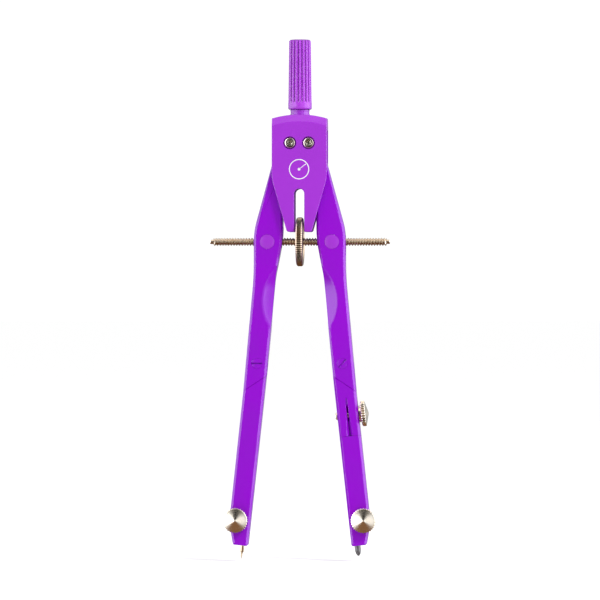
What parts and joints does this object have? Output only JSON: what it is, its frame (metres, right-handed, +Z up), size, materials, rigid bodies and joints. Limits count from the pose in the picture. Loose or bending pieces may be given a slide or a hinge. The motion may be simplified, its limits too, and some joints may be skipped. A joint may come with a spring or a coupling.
{
  "type": "drawing compass",
  "caption": "Bow compass with a fluted grip, flat two-plate head, geared legs with knees, threaded cross spindle with a centre wheel, needle foot and pull-out lead insert.",
  "frame": {"origin": "midway between the legs, on the compass's axis, at the height of the needle's point", "axes": "+Z up along the compass, X across the legs, +Y to the rear; the front faces -Y"},
  "size_m": [0.0588, 0.016, 0.17],
  "materials": {
    "leg_enamel": "satin",
    "light_enamel": "satin",
    "nickel": "turned, bright nickel",
    "brass": "turned",
    "needle_steel": "polished",
    "graphite": "burnished graphite"
  },
  "bodies": {
    "head": {"handle": "light_enamel", "neck_ring": "light_enamel", "handle_stud": "nickel", "head_front_cover": "light_enamel", "head_rear_cover": "light_enamel", "left_pivot_screw": "nickel", "right_pivot_screw": "nickel", "left_pivot_bush": "brass", "right_pivot_bush": "brass", "left_pivot_nut": "nickel", "right_pivot_nut": "nickel"},
    "left_leg": {"left_upper_leg": "leg_enamel", "left_knee_screw": "leg_enamel"},
    "right_leg": {"right_upper_leg": "leg_enamel", "right_knee_screw": "leg_enamel"},
    "left_nut": {"left_swivel_nut": "light_enamel"},
    "right_nut": {"right_swivel_nut": "light_enamel"},
    "spindle": {"threaded_spindle": "nickel"},
    "wheel": {"adjusting_wheel": "nickel"},
    "needle_leg": {"left_lower_leg": "leg_enamel"},
    "lead_socket": {"right_knee_socket": "leg_enamel"},
    "insert": {"lead_insert": "leg_enamel"},
    "insert_screw": {"insert_clamp_screw": "nickel"},
    "needle_screw": {"needle_clamp_screw": "nickel"},
    "lead_screw": {"lead_clamp_screw": "nickel"},
    "needle_point": {"needle": "needle_steel"},
    "lead_point": {"lead": "graphite"}
  },
  "joints": [
    {"name": "wheel_turn", "type": "hinge", "parent": "spindle", "child": "wheel", "pos_m": [0, 0, 0.104], "axis": [1, 0, 0], "range_deg": [-1320, 6180]},
    {"name": "left_leg_swing", "type": "hinge", "parent": "head", "child": "left_leg", "pos_m": [-0.00304, 0, 0.1362], "axis": [0, 1, 0], "range_deg": [-6.5, 30.5]},
    {"name": "right_leg_swing", "type": "hinge", "parent": "head", "child": "right_leg", "pos_m": [0.00304, 0, 0.1362], "axis": [0, -1, 0], "range_deg": [-6.5, 30.5]},
    {"name": "left_nut_level", "type": "hinge", "parent": "left_leg", "child": "left_nut", "pos_m": [-0.01055, 0, 0.104], "axis": [0, -1, 0], "range_deg": [-6.5, 30.5]},
    {"name": "right_nut_level", "type": "hinge", "parent": "right_leg", "child": "right_nut", "pos_m": [0.01055, 0, 0.104], "axis": [0, 1, 0], "range_deg": [-6.5, 30.5]},
    {"name": "spindle_slide", "type": "slide", "parent": "left_nut", "child": "spindle", "axis": [1, 0, 0], "range_m": [-0.0033, 0.0155]},
    {"name": "left_knee_bend", "type": "hinge", "parent": "left_leg", "child": "needle_leg", "pos_m": [-0.01395, 0, 0.0643], "axis": [0, -1, 0], "range_deg": [0, 25]},
    {"name": "right_knee_bend", "type": "hinge", "parent": "right_leg", "child": "lead_socket", "pos_m": [0.01395, 0, 0.0643], "axis": [0, 1, 0], "range_deg": [0, 25]},
    {"name": "insert_pull", "type": "slide", "parent": "lead_socket", "child": "insert", "axis": [0.108, 0, -0.9942], "range_m": [0, 0.006]},
    {"name": "insert_screw_turn", "type": "hinge", "parent": "lead_socket", "child": "insert_screw", "pos_m": [0.01925, 0, 0.04777], "axis": [0.9942, 0, 0.108], "range_deg": [0, 720]},
    {"name": "needle_screw_turn", "type": "hinge", "parent": "needle_leg", "child": "needle_screw", "pos_m": [-0.02092, -0.003, 0.0131], "axis": [0, -1, 0], "range_deg": [0, 720]},
    {"name": "lead_screw_turn", "type": "hinge", "parent": "insert", "child": "lead_screw", "pos_m": [0.02092, -0.003, 0.0131], "axis": [0, -1, 0], "range_deg": [0, 720]},
    {"name": "needle_slide", "type": "slide", "parent": "needle_leg", "child": "needle_point", "axis": [-0.108, 0, -0.9942], "range_m": [-0.0025, 0.004]},
    {"name": "lead_slide", "type": "slide", "parent": "insert", "child": "lead_point", "axis": [0.108, 0, -0.9942], "range_m": [-0.0025, 0.004]}
  ],
  "couplings": [
    {"joint": "right_leg_swing", "follows": "left_leg_swing", "ratio": 1},
    {"joint": "left_nut_level", "follows": "left_leg_swing", "ratio": 1},
    {"joint": "right_nut_level", "follows": "left_leg_swing", "ratio": 1},
    {"joint": "spindle_slide", "follows": "left_leg_swing", "m_per_rad": 0.029},
    {"joint": "wheel_turn", "follows": "left_leg_swing", "ratio": 202.46}
  ]
}
